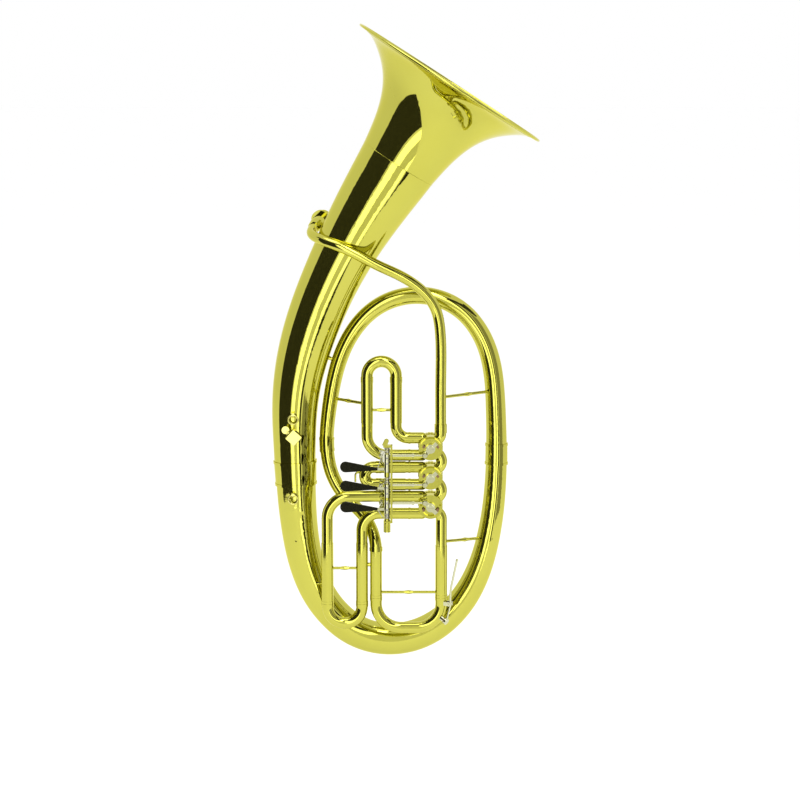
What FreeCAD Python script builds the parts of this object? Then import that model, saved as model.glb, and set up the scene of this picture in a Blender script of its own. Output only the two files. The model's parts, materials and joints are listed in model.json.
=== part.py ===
import FreeCAD, Part
import math
import os

# Oval tenor horn of the tuba family: a conical main branch wound into an oval, three rotary
# valves with lever linkage, and four pull-out slides. Units are millimetres. +Z points up along
# the horn, -Y points out of the side with the levers, +X is to the right seen from that side.
# The origin is the lowest point of the bottom bow.

# ---- driving dimensions -------------------------------------------------------------------
BELL_DIAMETER = 235.0
BELL_TILT = 32.8
WALL = 0.6
VALVE_X = 45.3
VALVE_TOP_Z = 246.4
VALVE_PITCH = 33.0
PORT_Y = -33.0
TUBE_R = 6.3
TUBE_BORE = 5.8
SOCKET_R = 6.7
SOCKET_BORE = 6.25
LEG_R = 6.2
CROOK_R = 6.5
RING_R = 7.0
AXLE_X = -2.8
AXLE_Y = -80.0
GAP = 0.02


def vec(x, y, z):
    """A point or a direction."""
    return FreeCAD.Vector(x, y, z)


def unit(v):
    """Copy of v with length one."""
    return FreeCAD.Vector(v).normalize()


def cylinder(start, direction, radius, length):
    """Solid cylinder from a start point along a direction."""
    return Part.makeCylinder(radius, length, start, unit(direction))


def cone(start, direction, r_start, r_end, length):
    """Solid cone frustum from a start point along a direction."""
    return Part.makeCone(r_start, r_end, length, start, unit(direction))


def block(x, y, z):
    """Box between the limits given for each axis."""
    return Part.makeBox(x[1] - x[0], y[1] - y[0], z[1] - z[0], vec(x[0], y[0], z[0]))


def merge(shapes):
    """One solid from several that touch or overlap."""
    if len(shapes) == 1:
        return shapes[0]
    return shapes[0].multiFuse(shapes[1:]).removeSplitter()


def group(shapes):
    """Several separate solids kept in one node."""
    solids = [solid for shape in shapes for solid in shape.Solids]
    return Part.makeCompound(solids)


def turn_y(shape, degrees, centre):
    """Copy of a shape turned about an axis along Y."""
    copy = shape.copy()
    copy.rotate(centre, vec(0, 1, 0), degrees)
    return copy


# ---- tubes of constant section ------------------------------------------------------------

def disc(centre, direction, outer, inner):
    """Flat ring, or a full disc when inner is zero."""
    face = Part.Face(Part.Wire(Part.Circle(centre, direction, outer).toShape()))
    if inner > 0:
        face = face.cut(Part.Face(Part.Wire(Part.Circle(centre, direction, inner).toShape())))
    return face.Faces[0]


def tube(corners, bends, outer, inner=0.0):
    """Round tube through the corners, with one bend radius for each inner corner."""
    pieces = []
    start = corners[0]
    for index, bend in enumerate(bends):
        corner = corners[index + 1]
        before = unit(corner - corners[index])
        after = unit(corners[index + 2] - corner)
        angle = before.getAngle(after)
        set_back = bend * math.tan(angle / 2)
        end = corner - before * set_back
        if (end - start).Length > 1e-4:
            pieces.append(disc(start, before, outer, inner).extrude(end - start))
        axis = unit(before.cross(after))
        centre = end + axis.cross(before) * bend
        elbow = disc(end, before, outer, inner).revolve(centre, axis, math.degrees(angle))
        pieces.append(elbow if elbow.Volume > 0 else elbow.reversed())
        start = corner + after * set_back
    last = corners[-1] - start
    if last.Length > 1e-4:
        pieces.append(disc(start, last, outer, inner).extrude(last))
    return merge(pieces)


# ---- tubes of changing section ------------------------------------------------------------

class Branch:
    """Centre line with a radius at each control point, and a start and end direction."""

    def __init__(self, points, radii, start, end):
        self.marks = [0.0]
        for before, after in zip(points, points[1:]):
            self.marks.append(self.marks[-1] + (after - before).Length)
        self.line = Part.BSplineCurve()
        self.line.interpolate(Points=points, Parameters=self.marks, InitialTangent=unit(start),
                              FinalTangent=unit(end), Scale=False)
        self.size = Part.BSplineCurve()
        self.size.interpolate(Points=[vec(r, m, 0) for r, m in zip(radii, self.marks)],
                              Parameters=self.marks)

    def radius(self, mark):
        return self.size.value(mark).x

    def section(self, mark, grow):
        """Circle across the centre line, its seam always at the side facing +Y."""
        along = unit(self.line.tangent(mark)[0])
        side = along.cross(unit(along.cross(vec(0, 1, 0))))
        turn = FreeCAD.Rotation(side * -1, vec(0, 0, 0), along, "ZXY")
        ring = Part.Circle(vec(0, 0, 0), vec(0, 0, 1), self.radius(mark) + grow).toShape()
        ring.Placement = FreeCAD.Placement(self.line.value(mark), turn)
        return Part.Wire(ring)

    def solid(self, first, last, grow=0.0, count=9):
        """Filled solid of the branch between two marks."""
        steps = [first + (last - first) * i / (count - 1) for i in range(count)]
        return Part.makeLoft([self.section(mark, grow) for mark in steps], True, False)

    def shell(self, first, last, outer=0.0, inner=-WALL, count=9):
        """Hollow length of the branch; outer and inner are added to the outside radius."""
        return self.solid(first, last, outer, count).cut(self.solid(first, last, inner, count))


def build_main_branch():
    """Knee, upper bow, bottom bow, bell stack and bell, with their ferrules."""
    tilt = math.radians(BELL_TILT)
    axis = vec(math.sin(tilt), 0, math.cos(tilt))
    rim = vec(66.2, 0, 645.8)
    seam = rim - axis * 105
    spine = [
        (vec(-15.4, PORT_Y, 128), 6.7),
        (vec(-19, -25, 147), 6.8),
        (vec(-30, -15.5, 165), 7.0),
        (vec(-50, -6, 184.5), 7.4),
        (vec(-64.5, -1, 208), 7.6),
        (vec(-70.8, 0, 243), 7.9),
        (vec(-67, 0, 290), 8.4),
        (vec(-51, 0, 352), 8.9),
        (vec(-16.4, 0, 396.5), 9.4),
        (vec(29.2, 0, 411.3), 9.7),
        (vec(78.2, 0, 395.4), 10.1),
        (vec(106.2, 0, 358), 10.5),
        (vec(118.6, 0, 285), 11.2),
        (vec(119.5, 0, 215), 12.0),
        (vec(110.4, 0, 132.9), 13.3),
        (vec(80.7, 0, 61.5), 15.7),
        (vec(28.5, 0, 22.5), 17.7),
        (vec(-28.4, 0, 23), 18.2),
        (vec(-79.5, 0, 69), 19.0),
        (vec(-100, 0, 132.9), 20.4),
        (vec(-106.3, 0, 218), 23.0),
        (vec(-104.5, 0, 304.7), 26.6),
        (vec(-88.5, 0, 372.4), 30.1),
        (vec(-59, 0, 443), 33.2),
        (seam - axis * 60, 38.9),
        (seam, 44.3),
    ]
    branch = Branch([p for p, r in spine], [r for p, r in spine], vec(0, 0, 1), axis)
    mark = branch.marks
    knee_end = mark[5]
    right_joint = mark[12] + 0.75 * (mark[13] - mark[12])
    left_joint = mark[20] - 0.08 * (mark[20] - mark[19])

    half = BELL_DIAMETER / 2
    bead_r = 1.45
    profile = [(0, half - 0.6), (2.2, 107), (6, 97), (12, 87.8), (22, 76), (36, 64.6), (54, 55.6),
               (76, 49.2), (105, 44.3)]
    outer = [rim - axis * a + vec(-axis.z, 0, axis.x) * r for a, r in profile]
    face_turn = vec(-axis.z, 0, axis.x)
    flare_line = Part.BSplineCurve()
    flare_line.interpolate(outer)
    inner = [rim - axis * a + face_turn * (r - d) for (a, r), d in
             zip(profile, (2.4, 2.2, 1.6, 1.0, 0.8, 0.7, WALL, WALL, WALL))]
    inner_line = Part.BSplineCurve()
    inner_line.interpolate(inner)
    edges = [flare_line.toShape(), Part.makeLine(outer[-1], inner[-1]), inner_line.toShape(),
             Part.makeLine(inner[0], outer[0])]
    bead_centre = rim - axis * 0.3
    notch = disc(bead_centre + face_turn * (half - bead_r), vec(0, 1, 0), bead_r + GAP, 0)
    flare_face = Part.Face(Part.Wire(Part.__sortEdges__(edges))).cut(notch).Faces[0]
    flare = flare_face.revolve(rim, axis, 360)
    bead = Part.makeTorus(half - bead_r, bead_r, bead_centre, axis)

    shapes = {
        "bell_flare": flare,
        "bell_rim_bead": bead,
        "bell_stack": branch.shell(left_joint, mark[25], count=13),
        "bottom_bow": branch.shell(right_joint, left_joint, count=21),
        "upper_bow": branch.shell(knee_end, right_joint, count=21),
        "branch_knee": branch.shell(mark[0], knee_end, count=13),
    }
    span = mark[20] - mark[19]
    stack_core = branch.solid(left_joint, mark[25], GAP, 13)
    bottom_core = branch.solid(right_joint, left_joint, GAP, 21)
    upper_core = branch.solid(knee_end, right_joint, GAP, 21)
    knee_core = branch.solid(mark[0], knee_end, GAP, 13)

    def ferrule(joint, reach, rise, lip, cores):
        """Sleeve over a joint of the branch, with a raised lip at each end."""
        body = merge([
            branch.solid(joint - reach * span, joint + reach * span, rise, 3),
            branch.solid(joint - reach * span, joint - (reach - 0.03) * span, lip, 3),
            branch.solid(joint + (reach - 0.03) * span, joint + reach * span, lip, 3),
        ])
        for core in cores:
            body = body.cut(core)
        return max(body.Solids, key=lambda solid: solid.Volume)

    shapes["bell_ferrule"] = ferrule(left_joint, 0.16, 0.8, 1.5, (stack_core, bottom_core))
    shapes["bow_ferrule"] = ferrule(right_joint, 0.14, 0.7, 1.3, (bottom_core, upper_core))
    collar = branch.solid(mark[0], mark[0] + 0.05 * span, 0.7, 3).cut(knee_core)
    collars = [ferrule(knee_end, 0.09, 0.5, 0.8, (upper_core, knee_core)), collar]
    return branch, shapes, collars


def build_leadpipe():
    """Leadpipe from the first valve, over the front of the bell stack and round its left side."""
    spine = [
        (vec(56.5, PORT_Y, 262), 6.15),
        (vec(56.4, PORT_Y, 320), 6.1),
        (vec(55.5, PORT_Y, 376), 6.0),
        (vec(50, -34, 401), 5.95),
        (vec(34, -37, 422), 5.9),
        (vec(11.4, -40, 437.5), 5.85),
        (vec(-15, -42.2, 450), 5.8),
        (vec(-41, -42.5, 463.5), 5.7),
        (vec(-64, -38.5, 472.5), 5.6),
        (vec(-81, -23, 478), 5.5),
        (vec(-86.5, -2, 482.3), 5.4),
        (vec(-83, 17, 487), 5.3),
    ]
    out = unit(vec(0.30, 0.92, 0.25))
    pipe = Branch([p for p, r in spine], [r for p, r in spine], vec(0, 0, 1), out)
    first = pipe.marks[0]
    last = pipe.marks[-1]
    lead = pipe.shell(first, last, count=29)
    end = spine[-1][0]
    cup = merge([
        cone(end - out * 5, out, 6.6, 7.9, 9),
        cylinder(end + out * 4, out, 7.9, 25),
        cylinder(end + out * 19, out, 11.4, 3.2),
        cylinder(end + out * 27, out, 8.7, 3.2),
    ])
    cup = cup.cut(cylinder(end, out, 4.6, 40))
    cup = cup.cut(cylinder(end + out * 5.2, out, 6.0, 40))
    core = pipe.solid(first, last, GAP, 29)
    cup = cup.cut(core)
    collar = pipe.solid(first, first + 0.028 * (last - first), 0.8, 3).cut(core)
    return pipe, {"leadpipe": lead, "mouthpiece_receiver": cup}, collar


# ---- valves -------------------------------------------------------------------------------

CASING_R = 12.9
CASING_BORE = 11.6
ROTOR_R = 11.55
PORT_TURN = 9.7
STUB_END_X = 20.8
PIN_RADIUS = 9.0
ROD_Y = -53.38
RIGHT_X = 57.5
LEAD_X = 56.5


def valve_centre(number):
    return vec(VALVE_X, PORT_Y, VALVE_TOP_Z - VALVE_PITCH * number)


def build_casing(number):
    """Casing with its front wall, cork holder and the two left-hand port tubes."""
    c = valve_centre(number)
    back = vec(0, 1, 0)
    up = 1 if number < 2 else -1
    body = [cylinder(c - back * 11.5, back, CASING_R, 24.5),
            cylinder(c - back * 12.3, back, CASING_R + 0.5, 3.0),
            cylinder(c - back * 14, back, 5.5, 3)]
    holder = disc(c - back * 17.2, back, 11.9, 9.6).extrude(back * 6)
    keep = block((c.x - 13, c.x + 13), (c.y - 18, c.y - 11), (c.z - 2, c.z + 13))
    if up < 0:
        keep = block((c.x - 13, c.x + 13), (c.y - 18, c.y - 11), (c.z - 13, c.z + 2))
    body.append(holder.common(keep))
    holes = [cylinder(c - back * 9.5, back, CASING_BORE, 23),
             cylinder(c - back * 18, back, 3.05, 20)]
    for side in (1, -1):
        turn = c + vec(-PORT_TURN, 0, side * PORT_TURN)
        end = vec(STUB_END_X, c.y, turn.z)
        ring = cylinder(end, vec(1, 0, 0), TUBE_R + 0.35, 2.2)
        body.append(merge([cylinder(c, turn - c, TUBE_R, (turn - c).Length),
                           Part.makeSphere(TUBE_R, turn),
                           cylinder(turn, end - turn, TUBE_R, turn.x - end.x), ring]))
        holes.append(merge([cylinder(c, turn - c, TUBE_BORE, (turn - c).Length),
                            Part.makeSphere(TUBE_BORE, turn),
                            cylinder(turn, end - turn, TUBE_BORE, turn.x - end.x)]))
        holes.append(cylinder(c, vec(1, 0, side), TUBE_BORE, 20))
    return merge(body).cut(merge(holes[:2])).cut(Part.makeCompound(holes[2:]))


def build_rotor(number):
    """Rotor plug with two curved passages and its spindles."""
    c = valve_centre(number)
    back = vec(0, 1, 0)
    plug = merge([cylinder(c - back * 9.4, back, ROTOR_R, 18.8),
                  cylinder(c - back * 17.4, back, 3.0, 9),
                  cylinder(c + back * 9, back, 2.5, 3)])
    for side in (1, -1):
        plug = plug.cut(Part.makeTorus(19.6, 5.4, c + vec(26 * side, 0, 0), back))
    return plug


def build_stop_arm(number):
    """Stop arm on the rotor's front spindle, with its stop lug, screw and drive pin."""
    c = valve_centre(number)
    back = vec(0, 1, 0)
    up = 1 if number < 2 else -1
    pin = c + vec(-PIN_RADIUS * math.sqrt(0.5), 0, -up * PIN_RADIUS * math.sqrt(0.5))
    y_hub = c.y - 17.2
    hub = cylinder(vec(c.x, y_hub, c.z), back, 5.0, 3.0)
    arm = block((c.x - PIN_RADIUS, c.x), (y_hub, y_hub + 2.6), (c.z - 2.6, c.z + 2.6))
    lug = block((c.x, c.x + 9.3), (y_hub, y_hub + 3.0), (c.z - 2.2, c.z + 2.2))
    bar = turn_y(merge([arm, lug]), -45 * up, c)
    eye = cylinder(vec(pin.x, y_hub, pin.z), back, 2.6, 2.6)
    shaft = cylinder(vec(pin.x, y_hub - 6.4, pin.z), back, 1.4, 8)
    head = cylinder(vec(pin.x, y_hub - 7.4, pin.z), back, 2.3, 1.2)
    head = head.cut(block((pin.x - 3, pin.x + 3), (y_hub - 7.6, y_hub - 6.9),
                          (pin.z - 0.3, pin.z + 0.3)))
    screw = cylinder(vec(c.x, y_hub - 1.8, c.z), back, 3.4, 1.9)
    screw = screw.cut(block((c.x - 4, c.x + 4), (y_hub - 2, y_hub - 1.1), (c.z - 0.4, c.z + 0.4)))
    body = merge([hub, bar, eye, shaft, head, screw])
    return body.cut(cylinder(vec(c.x, y_hub - 0.2, c.z), back, 3.02, 5))


def build_corks(number):
    """Two bumpers inside the cork holder, one on each side of the stop lug's swing."""
    c = valve_centre(number)
    up = 1 if number < 2 else -1
    pad = block((c.x + 5.9, c.x + 12), (c.y - 17.2, c.y - 12.3), (c.z - 5.3, c.z - 2.3))
    pad = pad.common(cylinder(c - vec(0, 20, 0), vec(0, 1, 0), 9.58, 12))
    rest = turn_y(pad, -45, c)
    stop = rest.mirror(c, vec(1, 0, 0))
    pads = group([rest, stop])
    if up < 0:
        pads = pads.mirror(c, vec(0, 0, 1))
    return pads


def build_plate(number):
    """Rear bearing plate pressed into the casing."""
    c = valve_centre(number)
    start = c + vec(0, 9.5, 0)
    return cylinder(start, vec(0, 1, 0), CASING_BORE, 3.4).cut(
        cylinder(start, vec(0, 1, 0), 2.55, 5))


def build_cap(number):
    """Rear screw cap with a knurled edge and a raised rim."""
    c = valve_centre(number)
    back = vec(0, 1, 0)
    cap = merge([cylinder(c + back * 8, back, 13.9, 7.5), cylinder(c + back * 15, back, 12.6, 1.5)])
    cap = cap.cut(cylinder(c + back * 7, back, CASING_R + 0.02, 6.0))
    cap = cap.cut(cylinder(c + back * 15.3, back, 10.6, 2))
    notches = []
    for step in range(24):
        angle = math.radians(step * 15)
        place = c + vec(14.4 * math.cos(angle), 8, 14.4 * math.sin(angle))
        notches.append(cylinder(place, back, 0.9, 8))
    return cap.cut(Part.makeCompound(notches))


def build_valves():
    shapes = {}
    for number in range(3):
        tag = str(number + 1)
        shapes["valve_casing_" + tag] = build_casing(number)
        shapes["valve_cap_" + tag] = build_cap(number)
        shapes["rotor_" + tag] = build_rotor(number)
        shapes["stop_arm_" + tag] = build_stop_arm(number)
    shapes["bearing_plates"] = group([build_plate(number) for number in range(3)])
    shapes["stop_corks"] = group([build_corks(number) for number in range(3)])
    core = Part.makeCompound([cylinder(valve_centre(n) - vec(0, 14, 0), vec(0, 1, 0),
                                       CASING_R, 30) for n in range(3)])
    reach = 0.5 * VALVE_PITCH
    knuckles = []
    for number in range(2):
        upper = valve_centre(number)
        lower = valve_centre(number + 1)
        corner = upper + vec(reach, 0, -reach)
        bend = 10.4
        knuckle = tube([upper + vec(5, 0, -5), corner, lower + vec(5, 0, 5)], [bend],
                       TUBE_R, TUBE_BORE)
        knuckles.append(knuckle.cut(core))
    shapes["valve_knuckles"] = group(knuckles)
    first = valve_centre(0)
    rise = LEAD_X - VALVE_X
    entry = tube([first + vec(5, 0, 5), first + vec(rise, 0, rise), vec(LEAD_X, PORT_Y, 262)],
                 [8.0], TUBE_R, TUBE_BORE)
    shapes["entry_elbow"] = entry.cut(core)
    third = valve_centre(2)
    drop = RIGHT_X - VALVE_X
    leave = tube([third + vec(5, 0, -5), third + vec(drop, 0, -drop), vec(RIGHT_X, PORT_Y, 132)],
                 [10.0], TUBE_R, TUBE_BORE)
    socket = cylinder(vec(RIGHT_X, PORT_Y, 75), vec(0, 0, 1), SOCKET_R, 59)
    hollow = cylinder(vec(RIGHT_X, PORT_Y, 70), vec(0, 0, 1), SOCKET_BORE, 62)
    lip = cylinder(vec(RIGHT_X, PORT_Y, 75), vec(0, 0, 1), RING_R, 3)
    leave = merge([leave.cut(core), socket.cut(cylinder(vec(RIGHT_X, PORT_Y, 70), vec(0, 0, 1),
                                                        TUBE_BORE, 70)), lip]).cut(hollow)
    shapes["exit_tube"] = leave
    return shapes


# ---- slides -------------------------------------------------------------------------------

MAIN_LEFT_X = -15.4
MAIN_BOW_Z = 39.8
FIRST_LEFT_X = -25.1
FIRST_RIGHT_X = 7.0
THIRD_LEFT_X = -69.7
THIRD_RIGHT_X = -31.1


def sleeve(point, direction, length):
    """Fixed outer slide tube with a lip at its open end, which is the given point."""
    outer = merge([cylinder(point, direction, SOCKET_R, length),
                   cylinder(point, direction, RING_R, 2.6)])
    return outer.cut(cylinder(point, direction, SOCKET_BORE, length))


def fixed_run(corners, bends, mouth, direction, length):
    """Port tube that leads into a slide sleeve whose mouth faces away from the valve."""
    run = tube(corners, bends, TUBE_R, TUBE_BORE)
    run = run.cut(cylinder(mouth, direction, SOCKET_BORE, length))
    return merge([run, sleeve(mouth, direction, length)])


def bow(corners, bends, legs, reach):
    """Slide crook with an end ring and an inner leg at each of its two ends."""
    parts = [tube(corners, bends, CROOK_R, TUBE_BORE)]
    for point, direction in legs:
        parts.append(cylinder(point - unit(direction) * 3.4, direction, RING_R, 3.2).cut(
            cylinder(point - unit(direction) * 4, direction, TUBE_BORE, 5)))
        leg = cylinder(point - unit(direction) * 0.4, direction, LEG_R, reach)
        parts.append(leg.cut(cylinder(point - unit(direction), direction, TUBE_BORE, reach + 2)))
    return merge(parts)


def build_slides():
    shapes = {}
    y = PORT_Y
    up = vec(0, 0, 1)
    down = vec(0, 0, -1)
    left = vec(-1, 0, 0)
    right = vec(1, 0, 0)
    z1a = valve_centre(0).z + PORT_TURN
    z1b = valve_centre(0).z - PORT_TURN
    z2a = valve_centre(1).z + PORT_TURN
    z2b = valve_centre(1).z - PORT_TURN
    z3a = valve_centre(2).z + PORT_TURN
    z3b = valve_centre(2).z - PORT_TURN
    x0 = STUB_END_X

    shapes["main_slide_socket"] = sleeve(vec(MAIN_LEFT_X, y, 75), up, 53)

    top = 321.0
    shapes["first_slide_socket_right"] = fixed_run(
        [vec(x0, y, z1a), vec(FIRST_RIGHT_X, y, z1a), vec(FIRST_RIGHT_X, y, 276)], [13.7],
        vec(FIRST_RIGHT_X, y, top), down, top - 273)
    shapes["first_slide_socket_left"] = fixed_run(
        [vec(x0, y, z1b), vec(FIRST_LEFT_X, y, z1b), vec(FIRST_LEFT_X, y, 276)], [22],
        vec(FIRST_LEFT_X, y, top), down, top - 273)

    end2 = -12.0
    shapes["second_slide_sockets"] = group([
        fixed_run([vec(x0, y, z), vec(17, y, z)], [], vec(end2, y, z), right, 29.5)
        for z in (z2a, z2b)])

    foot = 68.0
    shapes["third_slide_socket_left"] = fixed_run(
        [vec(x0, y, z3a), vec(THIRD_LEFT_X, y, z3a), vec(THIRD_LEFT_X, y, 134)], [25],
        vec(THIRD_LEFT_X, y, foot), up, 69)
    shapes["third_slide_socket_right"] = fixed_run(
        [vec(x0, y, z3b), vec(THIRD_RIGHT_X, y, z3b), vec(THIRD_RIGHT_X, y, 134)], [19],
        vec(THIRD_RIGHT_X, y, foot), up, 69)

    main_top = 75 - GAP
    shapes["main_slide_bow"] = bow(
        [vec(RIGHT_X, y, main_top), vec(RIGHT_X, y, MAIN_BOW_Z), vec(MAIN_LEFT_X, y, MAIN_BOW_Z),
         vec(MAIN_LEFT_X, y, main_top)], [28, 28],
        [(vec(RIGHT_X, y, main_top), up), (vec(MAIN_LEFT_X, y, main_top), up)], 48)
    r1 = (FIRST_RIGHT_X - FIRST_LEFT_X) / 2
    base = top + GAP
    crest = 341.7
    shapes["first_slide_bow"] = bow(
        [vec(FIRST_RIGHT_X, y, base), vec(FIRST_RIGHT_X, y, crest),
         vec(FIRST_LEFT_X, y, crest), vec(FIRST_LEFT_X, y, base)], [r1, r1],
        [(vec(FIRST_RIGHT_X, y, base), down), (vec(FIRST_LEFT_X, y, base), down)], 44)
    r2 = PORT_TURN
    mouth = end2 - GAP
    back = -18.0 - r2
    shapes["second_slide_bow"] = bow(
        [vec(mouth, y, z2a), vec(back, y, z2a), vec(back, y, z2b), vec(mouth, y, z2b)], [r2, r2],
        [(vec(mouth, y, z2a), right), (vec(mouth, y, z2b), right)], 27)
    hook = tube([vec(back - 5.8, y, 217), vec(back - 10.5, y, 217), vec(back - 10.5, y, 206.5)],
                [3.0], 1.1)
    shapes["second_slide_bow"] = merge([shapes["second_slide_bow"], hook])
    r3 = (THIRD_RIGHT_X - THIRD_LEFT_X) / 2
    rim = foot - GAP
    sole = 45.0
    shapes["third_slide_bow"] = bow(
        [vec(THIRD_RIGHT_X, y, rim), vec(THIRD_RIGHT_X, y, sole),
         vec(THIRD_LEFT_X, y, sole), vec(THIRD_LEFT_X, y, rim)], [r3, r3],
        [(vec(THIRD_RIGHT_X, y, rim), up), (vec(THIRD_LEFT_X, y, rim), up)], 64)
    return shapes


# ---- levers and linkage -------------------------------------------------------------------

AXLE_R = 2.0
HUB_R = 3.1
LEVER_ARM = 27.0
LEVER_HALF_SWING = math.degrees(math.asin(PIN_RADIUS * math.sqrt(0.5) / LEVER_ARM))
HUBS = ((226.5, 246.5), (198.5, 213.0), (180.9, 195.4))
PADDLE_Z = (232.3, 211.1, 187.7)


def rod_height(number):
    """Height of a link rod at rest."""
    side = -1 if number < 2 else 1
    return valve_centre(number).z + side * PIN_RADIUS * math.sqrt(0.5)


def build_lever(number):
    """Bell crank on the upright axle, with its fork towards the valves, and its paddle."""
    low, high = HUBS[number]
    hub = cylinder(vec(AXLE_X, AXLE_Y, low), vec(0, 0, 1), HUB_R, high - low)
    z = PADDLE_Z[number]
    stem_z = z - 2.4
    centre = vec(-48, AXLE_Y - 1.1, z)
    round_r = 6.0
    neck = vec(-13, AXLE_Y - 1.1, stem_z)
    line = unit(neck - centre)
    lean = math.asin((round_r - 1.5) / (neck - centre).Length)
    rim = []
    for side in (1, -1):
        normal = vec(-line.z, 0, line.x) * side
        reach = line * math.sin(lean) + normal * math.cos(lean)
        rim.append((centre + reach * round_r, neck + reach * 1.5))
    arc = Part.Arc(rim[0][0], centre - line * round_r, rim[1][0]).toShape()
    wire = Part.Wire(Part.__sortEdges__([arc, Part.makeLine(rim[1][0], rim[1][1]),
                                         Part.makeLine(rim[1][1], rim[0][1]),
                                         Part.makeLine(rim[0][1], rim[0][0])]))
    paddle = Part.Face(wire).extrude(vec(0, 2.2, 0))
    paddle = paddle.makeFillet(0.7, paddle.Edges)
    stem = block((-15, AXLE_X), (AXLE_Y - 0.9, AXLE_Y + 0.9), (stem_z - 1.4, stem_z + 1.4))
    rod_z = rod_height(number)
    low_gap, high_gap = (5.94, 3.3) if number < 2 else (3.3, 5.94)
    angle = math.radians(90 + LEVER_HALF_SWING)
    tip = vec(AXLE_X + LEVER_ARM * math.cos(angle), AXLE_Y + LEVER_ARM * math.sin(angle), 0)
    prongs = []
    for z_low in (rod_z - low_gap - 2.0, rod_z + high_gap):
        start = vec(AXLE_X, AXLE_Y, z_low)
        plate = block((0, LEVER_ARM), (-2.3, 2.3), (0, 2.0))
        plate.rotate(vec(0, 0, 0), vec(0, 0, 1), math.degrees(angle))
        plate.translate(start)
        prongs.append(plate)
        prongs.append(cylinder(vec(tip.x, tip.y, z_low), vec(0, 0, 1), 2.3, 2.0))
    web = block((0, 15), (-1.3, 1.3), (rod_z - low_gap - 1, rod_z + high_gap + 1))
    web.rotate(vec(0, 0, 0), vec(0, 0, 1), math.degrees(angle))
    web.translate(vec(AXLE_X, AXLE_Y, 0))
    pin = cylinder(vec(tip.x, tip.y, rod_z - low_gap - 2.6), vec(0, 0, 1), 1.2,
                   low_gap + high_gap + 5.2)
    body = merge([hub, stem, web, pin] + prongs)
    bore = cylinder(vec(AXLE_X, AXLE_Y, low - 5), vec(0, 0, 1), AXLE_R + 0.05, high - low + 10)
    return body.cut(bore), paddle.cut(stem)


def build_rod(number):
    """Link rod from the lever's upright pin to the stop arm's pin."""
    z = rod_height(number)
    side = -1 if number < 2 else 1
    pin_x = VALVE_X - PIN_RADIUS * math.sqrt(0.5)
    angle = math.radians(90 + LEVER_HALF_SWING)
    eye_x = AXLE_X + LEVER_ARM * math.cos(angle)
    eye_z = z
    bar = merge([
        Part.makeSphere(2.9, vec(eye_x, ROD_Y, eye_z)),
        cylinder(vec(eye_x, ROD_Y, eye_z), vec(1, 0, 0), 1.2, pin_x - eye_x),
        cylinder(vec(eye_x + 8, ROD_Y, z), vec(1, 0, 0), 1.7, 26),
        cylinder(vec(eye_x + 34, ROD_Y, z), vec(1, 0, 0), 2.3, 2.2),
        Part.makeSphere(3.2, vec(pin_x, ROD_Y, z)),
    ])
    bar = bar.cut(cylinder(vec(eye_x, ROD_Y, z - 6), vec(0, 0, 1), 1.8, 12))
    bar = bar.cut(cylinder(vec(pin_x, ROD_Y - 6, z), vec(0, 1, 0), 1.45, 12))
    trim = block((pin_x - 4, pin_x + 4), (ROD_Y - 4, ROD_Y - 2.2), (z - 4, z + 4))
    trim = Part.makeCompound([trim, trim.translated(vec(0, 6.2, 0))])
    return bar.cut(trim)


def build_spring(low, high, turns):
    """Close-wound return spring round the axle with a leg each way."""
    wire_r = 0.45
    coil = Part.makeHelix((high - low) / turns, high - low, AXLE_R + 0.75)
    start = vec(AXLE_R + 0.75, 0, 0)
    ring = Part.Wire(Part.Circle(start, vec(0, 1, 0.1), wire_r).toShape())
    spring = Part.Wire(coil.Edges).makePipeShell([ring], True, True)
    spring.translate(vec(AXLE_X, AXLE_Y, low))
    return spring


def build_rack():
    """Fixed frame for the lever axle, with two feet that reach the valve tubes."""
    x_in = 1.0
    x_out = 3.2
    front = AXLE_Y - 2.8
    strip = block((x_in, x_out), (front, AXLE_Y + 2.8), (170.3, 256.7))
    top = block((AXLE_X - 4.0, x_out), (front - 1, AXLE_Y + 3.8), (254.3, 256.7))
    bottom = block((AXLE_X - 3.8, x_out), (front - 0.8, AXLE_Y + 3.6), (170.3, 172.3))
    feet = [block((x_in, x_out), (AXLE_Y, PORT_Y), (216.9, 219.6)),
            block((x_in, x_out), (AXLE_Y, PORT_Y), (174.2, 176.9))]
    tongue = cylinder(vec(AXLE_X - 3.0, AXLE_Y - 2.4, 256), vec(0.45, 0, 1), 2.6, 6.0)
    tip = Part.makeSphere(2.6, vec(AXLE_X - 3.0, AXLE_Y - 2.4, 256) + unit(vec(0.45, 0, 1)) * 6)
    slab = block((-20, 20), (AXLE_Y - 3.6, AXLE_Y - 1.6), (250, 270))
    tongue = merge([tongue, tip]).common(slab)
    rack = merge([strip, top, bottom, tongue] + feet)
    return rack.cut(cylinder(vec(AXLE_X, AXLE_Y, 150), vec(0, 0, 1), AXLE_R, 105.5))


def build_axle():
    """Upright axle with spacers between the levers and a knurled nut below."""
    shaft = cylinder(vec(AXLE_X, AXLE_Y, 160), vec(0, 0, 1), AXLE_R, 95.4)
    parts = [shaft]
    for low, high in ((172.5, 174.0), (195.7, 198.2), (221.4, 226.2)):
        parts.append(cylinder(vec(AXLE_X, AXLE_Y, low), vec(0, 0, 1), HUB_R, high - low))
    nut = cylinder(vec(AXLE_X, AXLE_Y, 159.8), vec(0, 0, 1), 3.8, 10.4)
    notches = []
    for step in range(16):
        angle = math.radians(step * 22.5)
        place = vec(AXLE_X + 4.1 * math.cos(angle), AXLE_Y + 4.1 * math.sin(angle), 160.6)
        notches.append(cylinder(place, vec(0, 0, 1), 0.6, 8.8))
    parts.append(nut.cut(Part.makeCompound(notches)))
    return merge(parts)


# ---- small fittings -----------------------------------------------------------------------

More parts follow.
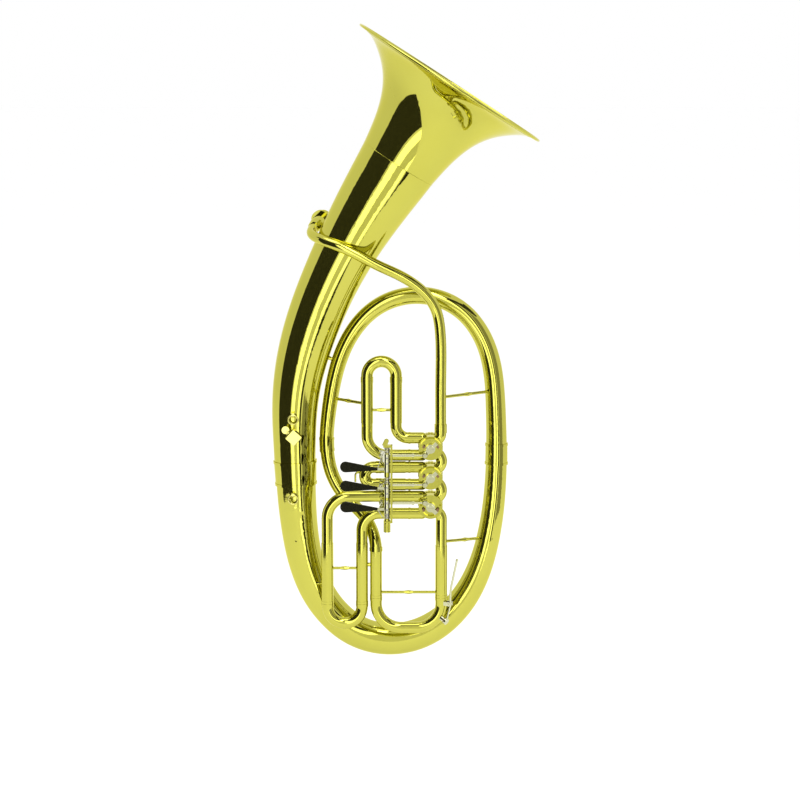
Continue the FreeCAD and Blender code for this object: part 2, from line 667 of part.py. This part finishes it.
def brace(start, end, radius=1.7):
    """Stay with a slightly thicker middle and a flared foot at each end."""
    run = end - start
    length = run.Length
    way = unit(run)
    middle = start + run * 0.5
    return merge([
        cylinder(start, way, radius, length),
        cone(start, way, 4.2, radius, 3.4),
        cone(end, way * -1, 4.2, radius, 3.4),
        cone(middle - way * 5, way, radius, radius + 0.7, 5),
        cone(middle, way, radius + 0.7, radius, 5),
    ])


def pipe_solid(x, z_low, z_high, radius):
    """Filled upright cylinder in the slide plane, used to trim the feet of a stay."""
    return cylinder(vec(x, PORT_Y, z_low), vec(0, 0, 1), radius, z_high - z_low)


def build_braces(branch, pipe):
    marks = branch.marks
    between = {
        "main": (brace(vec(MAIN_LEFT_X, PORT_Y, 80.7), vec(RIGHT_X, PORT_Y, 80.7), 1.6),
                 MAIN_LEFT_X, RIGHT_X, 60, 100),
        "first": (brace(vec(FIRST_LEFT_X, PORT_Y, 287.5), vec(FIRST_RIGHT_X, PORT_Y, 287.5), 1.6),
                  FIRST_LEFT_X, FIRST_RIGHT_X, 275, 300),
        "third": (brace(vec(THIRD_LEFT_X, PORT_Y, 108.3), vec(THIRD_RIGHT_X, PORT_Y, 108.3), 1.6),
                  THIRD_LEFT_X, THIRD_RIGHT_X, 90, 130),
        "pair": (brace(vec(THIRD_RIGHT_X, PORT_Y, 112.3), vec(MAIN_LEFT_X, PORT_Y, 112.3), 1.6),
                 THIRD_RIGHT_X, MAIN_LEFT_X, 90, 125),
    }
    slide = []
    for stay, x_left, x_right, z_low, z_high in between.values():
        inside = block((x_left, x_right), (PORT_Y - 10, PORT_Y + 10), (z_low, z_high))
        stay = stay.common(inside)
        stay = stay.cut(pipe_solid(x_left, z_low, z_high, SOCKET_R))
        slide.append(stay.cut(pipe_solid(x_right, z_low, z_high, SOCKET_R)))

    def trimmed(stay, *others):
        for other in others:
            stay = stay.cut(other)
        return max(stay.Solids, key=lambda solid: solid.Volume)

    left_stack = branch.solid(marks[20], marks[23], 0, 9)
    left_bow = branch.solid(marks[18], marks[20], 0, 7)
    right_low = branch.solid(marks[13], marks[15], 0, 7)
    right_high = branch.solid(marks[11], marks[13], 0, 7)
    inner_left = branch.solid(marks[5], marks[8], 0, 9)
    lead = pipe.solid(pipe.marks[0], pipe.marks[3], 0, 7)
    body = [
        trimmed(brace(vec(-88, 0, 350), vec(-52, 0, 334), 2.0), left_stack, inner_left),
        trimmed(brace(vec(-67, -2, 296.4), vec(FIRST_LEFT_X, PORT_Y, 294.2)), inner_left,
                pipe_solid(FIRST_LEFT_X, 275, 315, SOCKET_R)),
        trimmed(brace(vec(56, PORT_Y, 301.5), vec(117, 0, 303.8)), lead, right_high),
        trimmed(brace(vec(RIGHT_X, PORT_Y, 138.5), vec(111, 0, 136)), right_low,
                pipe_solid(RIGHT_X, 125, 150, TUBE_R)),
        trimmed(brace(vec(-92, -2, 84), vec(THIRD_LEFT_X, PORT_Y, 90.5)), left_bow,
                pipe_solid(THIRD_LEFT_X, 70, 110, SOCKET_R)),
    ]
    upper_stack = branch.solid(marks[22], marks[25], 0, 9)
    lead_high = pipe.solid(pipe.marks[5], pipe.marks[9], 0, 9)
    pad = cylinder(vec(-41, -46, 463.5), vec(0, 1, 0), 3.4, 30)
    body.append(trimmed(pad, upper_stack, lead_high.fuse(block((-60, -20), (-60, -41), (440, 490)))))
    return {"slide_braces": group(slide), "body_braces": group(body)}


def build_fittings(branch):
    """Lyre socket with its screw, and the two strap rings with their lugs."""
    marks = branch.marks
    stack = branch.solid(marks[20], marks[22], 0, 9)
    lean = 138
    centre = vec(-106.5, -31.5, 256.5)
    box = block((-7, 7), (-5, 8), (-6.5, 6.5))
    box = box.makeFillet(1.0, [edge for edge in box.Edges if abs(edge.Length - 13) < 0.1])
    socket = box.cut(cylinder(vec(0, 0, -10), vec(0, 0, 1), 2.6, 20))
    socket = socket.cut(cylinder(vec(2, 0, 0), vec(1, 0, 0), 1.3, 10))
    screw = merge([cylinder(vec(2.65, 0, 0), vec(1, 0, 0), 1.25, 8.2),
                   cylinder(vec(7.6, 0, 0), vec(1, 0, 0), 3.2, 1.6),
                   cylinder(vec(12.2, -1.1, 0), vec(0, 1, 0), 4.2, 2.2).common(
                       block((9.0, 17), (-2, 2), (-6, 6)))])
    shapes = {}
    for name, shape in (("lyre_socket", socket), ("lyre_screw", screw)):
        shape.rotate(vec(0, 0, 0), vec(0, 1, 0), -lean)
        shape.translate(centre)
        shapes[name] = shape
    shapes["lyre_socket"] = shapes["lyre_socket"].cut(stack)

    lugs = []
    for name, place in (("strap_ring_upper", vec(-107.2, 0, 281)),
                        ("strap_ring_lower", vec(-108, 0, 190))):
        front = -29.6 if name == "strap_ring_upper" else -25.6
        lug = block((place.x - 1.6, place.x + 1.6), (front, front + 14), (place.z - 2.6,
                                                                         place.z + 2.6))
        nose = cylinder(vec(place.x - 1.6, front, place.z), vec(1, 0, 0), 2.6, 3.2)
        lug = merge([lug, nose])
        lug = lug.cut(cylinder(vec(place.x - 5, front, place.z), vec(1, 0, 0), 1.4, 10))
        other = stack if name == "strap_ring_upper" else branch.solid(marks[19], marks[20], 0, 7)
        lugs.append(lug.cut(other))
        ring = Part.makeTorus(5.2, 1.0, vec(place.x, front, place.z - 5.2), vec(0, 1, 0))
        shapes[name] = ring
    shapes["strap_lugs"] = group(lugs)
    return shapes


def build_water_key():
    """Spring lever on the main slide bow with a cork over its drain nipple."""
    bend_x = RIGHT_X - 28
    bend_z = MAIN_BOW_Z + 28
    angle = math.radians(-30)
    out = unit(vec(math.cos(angle) * 0.82, -0.57, math.sin(angle) * 0.82))
    seat = vec(bend_x + 28 * math.cos(angle), PORT_Y, bend_z + 28 * math.sin(angle))
    nipple = cone(seat + out * 5.2, out, 3.3, 2.6, 5.0)
    nipple = nipple.cut(cylinder(seat, out, 1.3, 20))
    crook = tube([vec(RIGHT_X, PORT_Y, 75), vec(RIGHT_X, PORT_Y, MAIN_BOW_Z),
                  vec(0, PORT_Y, MAIN_BOW_Z)], [28], CROOK_R)
    nipple = nipple.cut(crook)
    side = unit(vec(0.82, -0.57, 0))
    across = unit(vec(0.57, 0.82, 0))
    pivot = vec(RIGHT_X, PORT_Y, 68.8) + side * 11.2
    posts = []
    for end in (-3.6, 2.2):
        post = block((4.5, 13.0), (end, end + 1.4), (-2.2, 2.2))
        posts.append(post)
    saddle = merge([block((4.5, 7.4), (-3.6, 3.6), (-2.2, 2.2))] + posts
                   + [cylinder(vec(11.2, -4.2, 0), vec(0, 1, 0), 0.9, 8.4)])
    saddle.rotate(vec(0, 0, 0), vec(0, 0, 1), math.degrees(math.atan2(side.y, side.x)))
    saddle.translate(vec(RIGHT_X, PORT_Y, 68.8))
    saddle = saddle.cut(crook)
    saddle = group([saddle, nipple])

    cork_base = seat + out * 10.25
    cup_base = seat + out * 11.4
    cork = cylinder(cork_base, out, 3.0, 2.2)
    cup = cylinder(cup_base, out, 3.7, 2.4).cut(cylinder(cork_base, out, 3.02, 2.25))
    grip = pivot
    barrel = cylinder(grip - across * 2.1, across, 2.0, 4.2)
    tip = vec(74.8, -45.5, 120.2)
    mid = pivot + vec(1.2, -0.8, 16)
    lower = cup_base + out * 1.6
    arm = merge([
        barrel,
        tube([lower, pivot + (side * 1.6)], [], 1.15),
        tube([pivot + side * 1.0, mid, tip], [30], 1.15),
        Part.makeSphere(1.5, tip),
        Part.makeSphere(1.15, lower),
        cup,
    ])
    hole = cylinder(grip - across * 6, across, 0.95, 12)
    arm = arm.cut(hole).cut(cork)
    shapes = {"water_key_saddle": saddle, "water_key_lever": arm, "water_key_cork": cork}
    return shapes


def main():
    os.makedirs("parts", exist_ok=True)
    branch, shapes, collars = build_main_branch()
    pipe, lead_shapes, lead_collar = build_leadpipe()
    shapes.update(lead_shapes)
    shapes["small_ferrules"] = group(collars + [lead_collar])
    shapes.update(build_valves())
    shapes.update(build_slides())
    for number in range(3):
        tag = str(number + 1)
        shapes["lever_" + tag], shapes["lever_paddle_" + tag] = build_lever(number)
        shapes["link_rod_" + tag] = build_rod(number)
    springs = [build_spring(247.2, 253.8, 4), build_spring(213.6, 220.8, 4),
               build_spring(174.6, 180.4, 4)]
    shapes["lever_springs"] = group(springs)
    rack = build_rack()
    for name in ("second_slide_sockets", "third_slide_socket_right"):
        rack = rack.cut(shapes[name])
    rack = max(rack.Solids, key=lambda solid: solid.Volume)
    shapes["lever_rack"] = rack
    shapes["lever_axle"] = build_axle()
    shapes.update(build_braces(branch, pipe))
    shapes.update(build_fittings(branch))
    shapes.update(build_water_key())
    for name, shape in shapes.items():
        shape.exportStep("parts/" + name + ".step")


main()
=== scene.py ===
import json
import math

import bmesh
import bpy
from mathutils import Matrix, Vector


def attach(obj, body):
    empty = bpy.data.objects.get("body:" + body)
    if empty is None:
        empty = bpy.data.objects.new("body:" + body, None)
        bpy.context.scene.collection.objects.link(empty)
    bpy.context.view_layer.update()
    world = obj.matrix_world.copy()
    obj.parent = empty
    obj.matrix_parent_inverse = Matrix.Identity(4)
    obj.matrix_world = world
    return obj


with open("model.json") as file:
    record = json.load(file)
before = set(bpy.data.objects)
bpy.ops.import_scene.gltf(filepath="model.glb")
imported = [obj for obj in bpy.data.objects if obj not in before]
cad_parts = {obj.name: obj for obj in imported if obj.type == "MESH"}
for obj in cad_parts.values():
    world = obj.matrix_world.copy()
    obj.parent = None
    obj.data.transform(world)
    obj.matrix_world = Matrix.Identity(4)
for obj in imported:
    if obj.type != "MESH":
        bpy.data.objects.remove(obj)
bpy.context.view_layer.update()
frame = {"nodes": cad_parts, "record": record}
nodes = frame["nodes"]

# Metres and degrees. X to the right and Z up, seen from the lever side; Y away from that side.
BELL_TILT = 32.8
BELL_RIM = Vector((0.0662, 0, 0.6458))
SEAM_BEHIND_RIM = 0.105
SEAM_RADIUS = 0.04432
GROOVE_BEHIND_RIM = 0.0024
GROOVE_RADIUS = 0.1064
THREAD_RADIUS = 0.0003

AXLE_X = -0.0028
AXLE_Y = -0.080
SCREW_RADIUS = 0.0011
SCREW_HEIGHT = 0.0007
HUB_FACE = 0.0030
LEG_WIRE_RADIUS = 0.00040
# Heights on the axle, lever by lever.
HUB_SCREW_HEIGHTS = {"1": (0.2425, 0.2365), "2": (0.2095, 0.2030), "3": (0.1925, 0.1850)}
COIL_END_HEIGHT = {"1": 0.2475, "2": 0.2137, "3": 0.1748}
CRANK_HEIGHT = {"1": 0.2299, "2": 0.2087, "3": 0.1853}

FLOOR_HEIGHT = -0.12
FLOOR_SIZE = 40
PANEL_FOOT = -0.115
CAMERA_PLACE = Vector((0.0114, -2.6, 0.7144))
CAMERA_AIM = Vector((0.0114, 0, 0.2933))
CAMERA_LENS = 105.83

# Noise values lie mostly between these two.
NOISE_LOW = 0.35
NOISE_HIGH = 0.65
BROAD_SCALE = 18
FINE_SCALE = 360
WHITE = (1, 1, 1)


# ---- node material helpers ----------------------------------------------------------------

def new_material(name):
    material = bpy.data.materials.new(name)
    material.use_nodes = True
    return material, material.node_tree.nodes["Principled BSDF"]


def link(material, source, target):
    material.node_tree.links.new(source, target)


def noise(material, scale, detail=2.0, rough=0.5):
    """Noise value that is fixed to the object."""
    tree = material.node_tree.nodes
    place = tree.new("ShaderNodeTexCoord")
    texture = tree.new("ShaderNodeTexNoise")
    texture.inputs["Scale"].default_value = scale
    texture.inputs["Detail"].default_value = detail
    texture.inputs["Roughness"].default_value = rough
    link(material, place.outputs["Object"], texture.inputs["Vector"])
    return texture.outputs["Fac"]


def spread(material, source, low, high):
    """Float that follows a noise value between two limits."""
    node = material.node_tree.nodes.new("ShaderNodeMapRange")
    node.inputs["From Min"].default_value = NOISE_LOW
    node.inputs["From Max"].default_value = NOISE_HIGH
    node.inputs["To Min"].default_value = low
    node.inputs["To Max"].default_value = high
    link(material, source, node.inputs["Value"])
    return node.outputs["Result"]


def blend_colours(material, source, first, second):
    node = material.node_tree.nodes.new("ShaderNodeMix")
    node.data_type = "RGBA"
    node.inputs["A"].default_value = (*first, 1)
    node.inputs["B"].default_value = (*second, 1)
    link(material, source, node.inputs["Factor"])
    return node.outputs["Result"]


# ---- materials ----------------------------------------------------------------------------

def metal(name, first, second, rough_low, rough_high, coat=0.0, edge=WHITE):
    """Polished metal with a broad drift of colour, fine wear in its gloss and a faint ripple."""
    material, shader = new_material(name)
    shader.inputs["Metallic"].default_value = 1.0
    shader.inputs["Coat Weight"].default_value = coat
    shader.inputs["Coat Roughness"].default_value = 0.03
    shader.inputs["Specular Tint"].default_value = (*edge, 1)
    broad = noise(material, BROAD_SCALE, 3.0)
    link(material, blend_colours(material, broad, first, second), shader.inputs["Base Color"])
    fine = noise(material, FINE_SCALE, 4.0, 0.6)
    link(material, spread(material, fine, rough_low, rough_high), shader.inputs["Roughness"])
    ripple = material.node_tree.nodes.new("ShaderNodeBump")
    ripple.inputs["Strength"].default_value = 0.02
    ripple.inputs["Distance"].default_value = 0.0005
    link(material, broad, ripple.inputs["Height"])
    link(material, ripple.outputs["Normal"], shader.inputs["Normal"])
    return material


def cork():
    """Matte cork with a fine grain."""
    material, shader = new_material("cork")
    grain = noise(material, 900, 3.0, 0.7)
    link(material, blend_colours(material, grain, (0.16, 0.09, 0.04), (0.28, 0.17, 0.08)),
         shader.inputs["Base Color"])
    shader.inputs["Roughness"].default_value = 0.9
    return material


def plain(name, colour, rough, glow):
    """Studio cloth or paint, with the white light that it gives off."""
    material, shader = new_material(name)
    darker = tuple(channel * 0.985 for channel in colour)
    link(material, blend_colours(material, noise(material, 3.0), colour, darker),
         shader.inputs["Base Color"])
    shader.inputs["Roughness"].default_value = rough
    shader.inputs["Emission Color"].default_value = (*WHITE, 1)
    shader.inputs["Emission Strength"].default_value = glow
    return material


BY_SLOT = {
    "lacquered_brass": metal("lacquered_brass", (0.50, 0.475, 0.062), (0.56, 0.54, 0.085),
                             0.03, 0.06, coat=0.3, edge=(0.96, 0.92, 0.45)),
    "nickel_silver": metal("nickel_silver", (0.56, 0.56, 0.34), (0.62, 0.62, 0.40), 0.06, 0.11),
    # The paddles' plate is painted near black. This is a painted dark reflection of the
    # surroundings; the polished metal itself is not that dark.
    "dark_polished_plate": metal("paddle_painted_dark_reflection", (0.012, 0.012, 0.007), (0.020, 0.020, 0.012),
                                 0.10, 0.18),
    "spring_steel": metal("spring_steel", (0.45, 0.44, 0.40), (0.55, 0.54, 0.50), 0.2, 0.3),
    "cork": cork(),
}
# The lyre holder and the strap fittings are a warmer nickel silver than the linkage.
WARM_NICKEL = metal("warm_nickel_silver", (0.54, 0.50, 0.13), (0.60, 0.56, 0.17), 0.05, 0.09,
                    edge=(0.96, 0.93, 0.55))
WARM_NODES = ("lyre_socket", "lyre_screw", "strap_lugs", "strap_ring_upper", "strap_ring_lower")


def paint_nodes():
    """Each CAD node gets the material of its slot in the record."""
    slot_of = {part["node"]: part["material_slot"] for part in frame["record"]["subparts"]}
    for name, obj in nodes.items():
        material = WARM_NICKEL if name in WARM_NODES else BY_SLOT[slot_of[name]]
        obj.data.materials.clear()
        obj.data.materials.append(material)


# ---- small visual pieces that ride on the CAD bodies ----------------------------------------

def place_piece(data, name, body, slot):
    """Object from a mesh or a curve, in its slot's material and on its body."""
    piece = bpy.data.objects.new(name, data)
    bpy.context.scene.collection.objects.link(piece)
    data.materials.append(BY_SLOT[slot])
    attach(piece, body)


def place_mesh(shape, name, body, slot, smooth):
    """Piece from a bmesh."""
    bmesh.ops.recalc_face_normals(shape, faces=shape.faces)
    mesh = bpy.data.meshes.new(name)
    shape.to_mesh(mesh)
    shape.free()
    for face in mesh.polygons:
        face.use_smooth = smooth
    place_piece(mesh, name, body, slot)


def frame_of(direction):
    """The direction as a unit vector, and two unit vectors across it."""
    direction = Vector(direction).normalized()
    side = direction.cross(Vector((0, 1, 0)))
    if side.length < 0.1:
        side = direction.cross(Vector((1, 0, 0)))
    side.normalize()
    return direction, side, direction.cross(side)


def join_rows(shape, low_row, high_row):
    """Band of faces between two closed rows of points."""
    count = len(low_row)
    for k in range(count):
        shape.faces.new((low_row[k], low_row[(k + 1) % count],
                         high_row[(k + 1) % count], high_row[k]))


def hoop(name, centre, axis, radius, section, body, slot):
    """Thin round bead along a circle."""
    around = 96
    corners = 10
    along, side, other = frame_of(axis)
    shape = bmesh.new()
    rows = []
    for step in range(around):
        angle = 2 * math.pi * step / around
        out = side * math.cos(angle) + other * math.sin(angle)
        rows.append([shape.verts.new(centre + out * (radius + section * math.cos(turn))
                                     + along * section * math.sin(turn))
                     for turn in (2 * math.pi * k / corners for k in range(corners))])
    for step in range(around):
        join_rows(shape, rows[step], rows[(step + 1) % around])
    place_mesh(shape, name, body, slot, smooth=True)


def slotted_screw(name, base, direction, radius, height, body, slot):
    """Domed screw head with a cut across it."""
    around = 24
    cut_half_width = 0.2
    cut_depth = 0.45
    along, side, other = frame_of(direction)
    shape = bmesh.new()
    rows = []
    for share, lift in ((1.0, 0.0), (1.0, 0.55), (0.8, 0.85), (0.45, 1.0)):
        row = []
        for step in range(around):
            angle = 2 * math.pi * step / around
            spot = side * math.cos(angle) * radius * share + other * math.sin(angle) * radius * share
            depth = height * lift
            if abs(spot.dot(side)) < radius * cut_half_width and lift > 0.5:
                depth -= height * cut_depth
            row.append(shape.verts.new(base + spot + along * depth))
        rows.append(row)
    for low_row, high_row in zip(rows, rows[1:]):
        join_rows(shape, low_row, high_row)
    shape.faces.new(rows[0])
    shape.faces.new(rows[-1])
    place_mesh(shape, name, body, slot, smooth=False)


def wire(name, points, radius, body, slot):
    """Round wire that is led by the points."""
    curve = bpy.data.curves.new(name, "CURVE")
    curve.dimensions = "3D"
    curve.bevel_depth = radius
    curve.bevel_resolution = 3
    curve.use_fill_caps = True
    spline = curve.splines.new("NURBS")
    spline.points.add(len(points) - 1)
    for point, place in zip(spline.points, points):
        point.co = (*place, 1)
    spline.order_u = 3
    spline.use_endpoint_u = True
    place_piece(curve, name, body, slot)


def bell_beads():
    """Seam between flare and stack, and the raised thread behind the rim."""
    tilt = math.radians(BELL_TILT)
    axis = Vector((math.sin(tilt), 0, math.cos(tilt)))
    hoop("bell_seam", BELL_RIM - axis * SEAM_BEHIND_RIM, axis, SEAM_RADIUS, THREAD_RADIUS,
         "horn", "lacquered_brass")
    hoop("bell_rim_groove", BELL_RIM - axis * GROOVE_BEHIND_RIM, axis, GROOVE_RADIUS,
         THREAD_RADIUS, "horn", "lacquered_brass")


def hub_screws(number):
    """Two screw heads on the front of a lever's hub."""
    for count, height in enumerate(HUB_SCREW_HEIGHTS[number]):
        slotted_screw("hub_screw_%s_%d" % (number, count + 1),
                      Vector((AXLE_X, AXLE_Y - HUB_FACE, height)), (0, -1, 0),
                      SCREW_RADIUS, SCREW_HEIGHT, "lever_" + number, "spring_steel")


def spring_leg(number):
    """Leg of a return spring, from the side of its coil to the lever's crank."""
    top = COIL_END_HEIGHT[number]
    foot = CRANK_HEIGHT[number]
    points = [(AXLE_X - 0.0037, AXLE_Y - 0.0002, top),
              (AXLE_X - 0.0042, AXLE_Y + 0.0022, top),
              (AXLE_X - 0.0075, AXLE_Y + 0.0026, (top + foot) / 2),
              (AXLE_X - 0.0105, AXLE_Y + 0.0018, foot)]
    wire("spring_leg_" + number, points, LEG_WIRE_RADIUS, "lever_" + number, "spring_steel")


# ---- floor, studio panels and light ---------------------------------------------------------

def floor_plane():
    bpy.ops.mesh.primitive_plane_add(size=FLOOR_SIZE, location=(0, 0, FLOOR_HEIGHT))
    floor = bpy.context.object
    floor.name = "floor"
    floor.data.materials.append(plain("floor_paint", (0.9, 0.9, 0.9), 0.9, 0.1))


def panel(name, azimuths, distance, heights, grey, glow):
    """Studio flag or lit wall that only reflections see, over a range of angles round the horn."""
    steps = 10
    first, last = azimuths
    foot, top = heights
    verts = []
    for step in range(steps + 1):
        angle = math.radians(first + (last - first) * step / steps)
        x = distance * math.sin(angle)
        y = -distance * math.cos(angle)
        verts += [(x, y, foot), (x, y, top)]
    faces = [(2 * k, 2 * k + 2, 2 * k + 3, 2 * k + 1) for k in range(steps)]
    mesh = bpy.data.meshes.new(name)
    mesh.from_pydata(verts, [], faces)
    mesh.materials.append(plain(name + "_cloth", (grey, grey, grey * 0.9), 1.0, glow))
    wall = bpy.data.objects.new(name, mesh)
    bpy.context.scene.collection.objects.link(wall)
    wall.visible_camera = False
    wall.visible_shadow = False
    wall.visible_diffuse = False


def area(name, location, target, size, power):
    data = bpy.data.lights.new(name, "AREA")
    data.shape = "RECTANGLE"
    data.size, data.size_y = size
    data.energy = power
    lamp = bpy.data.objects.new(name, data)
    lamp.location = location
    lamp.rotation_euler = (Vector(target) - Vector(location)).to_track_quat("-Z", "Y").to_euler()
    bpy.context.scene.collection.objects.link(lamp)


def studio_world():
    """Plain white surroundings, shown without a film curve."""
    world = bpy.data.worlds.new("studio")
    bpy.context.scene.world = world
    world.use_nodes = True
    sky = world.node_tree.nodes["Background"]
    sky.inputs["Color"].default_value = (*WHITE, 1)
    sky.inputs["Strength"].default_value = 1.0
    bpy.context.scene.view_settings.view_transform = "Standard"


def front_camera():
    data = bpy.data.cameras.new("camera")
    data.lens = CAMERA_LENS
    data.sensor_width = 36
    camera = bpy.data.objects.new("camera", data)
    camera.location = CAMERA_PLACE
    camera.rotation_euler = (CAMERA_AIM - CAMERA_PLACE).to_track_quat("-Z", "Y").to_euler()
    bpy.context.scene.collection.objects.link(camera)
    bpy.context.scene.camera = camera


paint_nodes()
bell_beads()
for lever in "123":
    hub_screws(lever)
for lever in "123":
    spring_leg(lever)

floor_plane()
panel("flag_left", (-84, -24), 1.1, (PANEL_FOOT, 1.6), 0.01, 0.015)
panel("wall_left", (-20, -6), 1.1, (PANEL_FOOT, 1.1), 0.5, 2.3)
panel("wall_middle", (-6, 10), 1.12, (PANEL_FOOT, 1.0), 0.3, 0.6)
panel("wall_right", (10, 18), 1.1, (PANEL_FOOT, 1.1), 0.5, 2.3)
panel("flag_line", (21, 30), 1.1, (PANEL_FOOT, 1.1), 0.01, 0.015)
panel("flag_right", (36, 72), 1.1, (PANEL_FOOT, 1.0), 0.05, 0.30)
panel("flag_high", (-100, 100), 2.6, (2.05, 3.3), 0.01, 0.03)
area("key", (0.3, -1.0, 1.5), (0, 0, 0.35), (0.3, 0.8), 5)
area("top", (0.0, -0.2, 2.6), (0, 0, 0.3), (1.8, 1.2), 20)
studio_world()
front_camera()
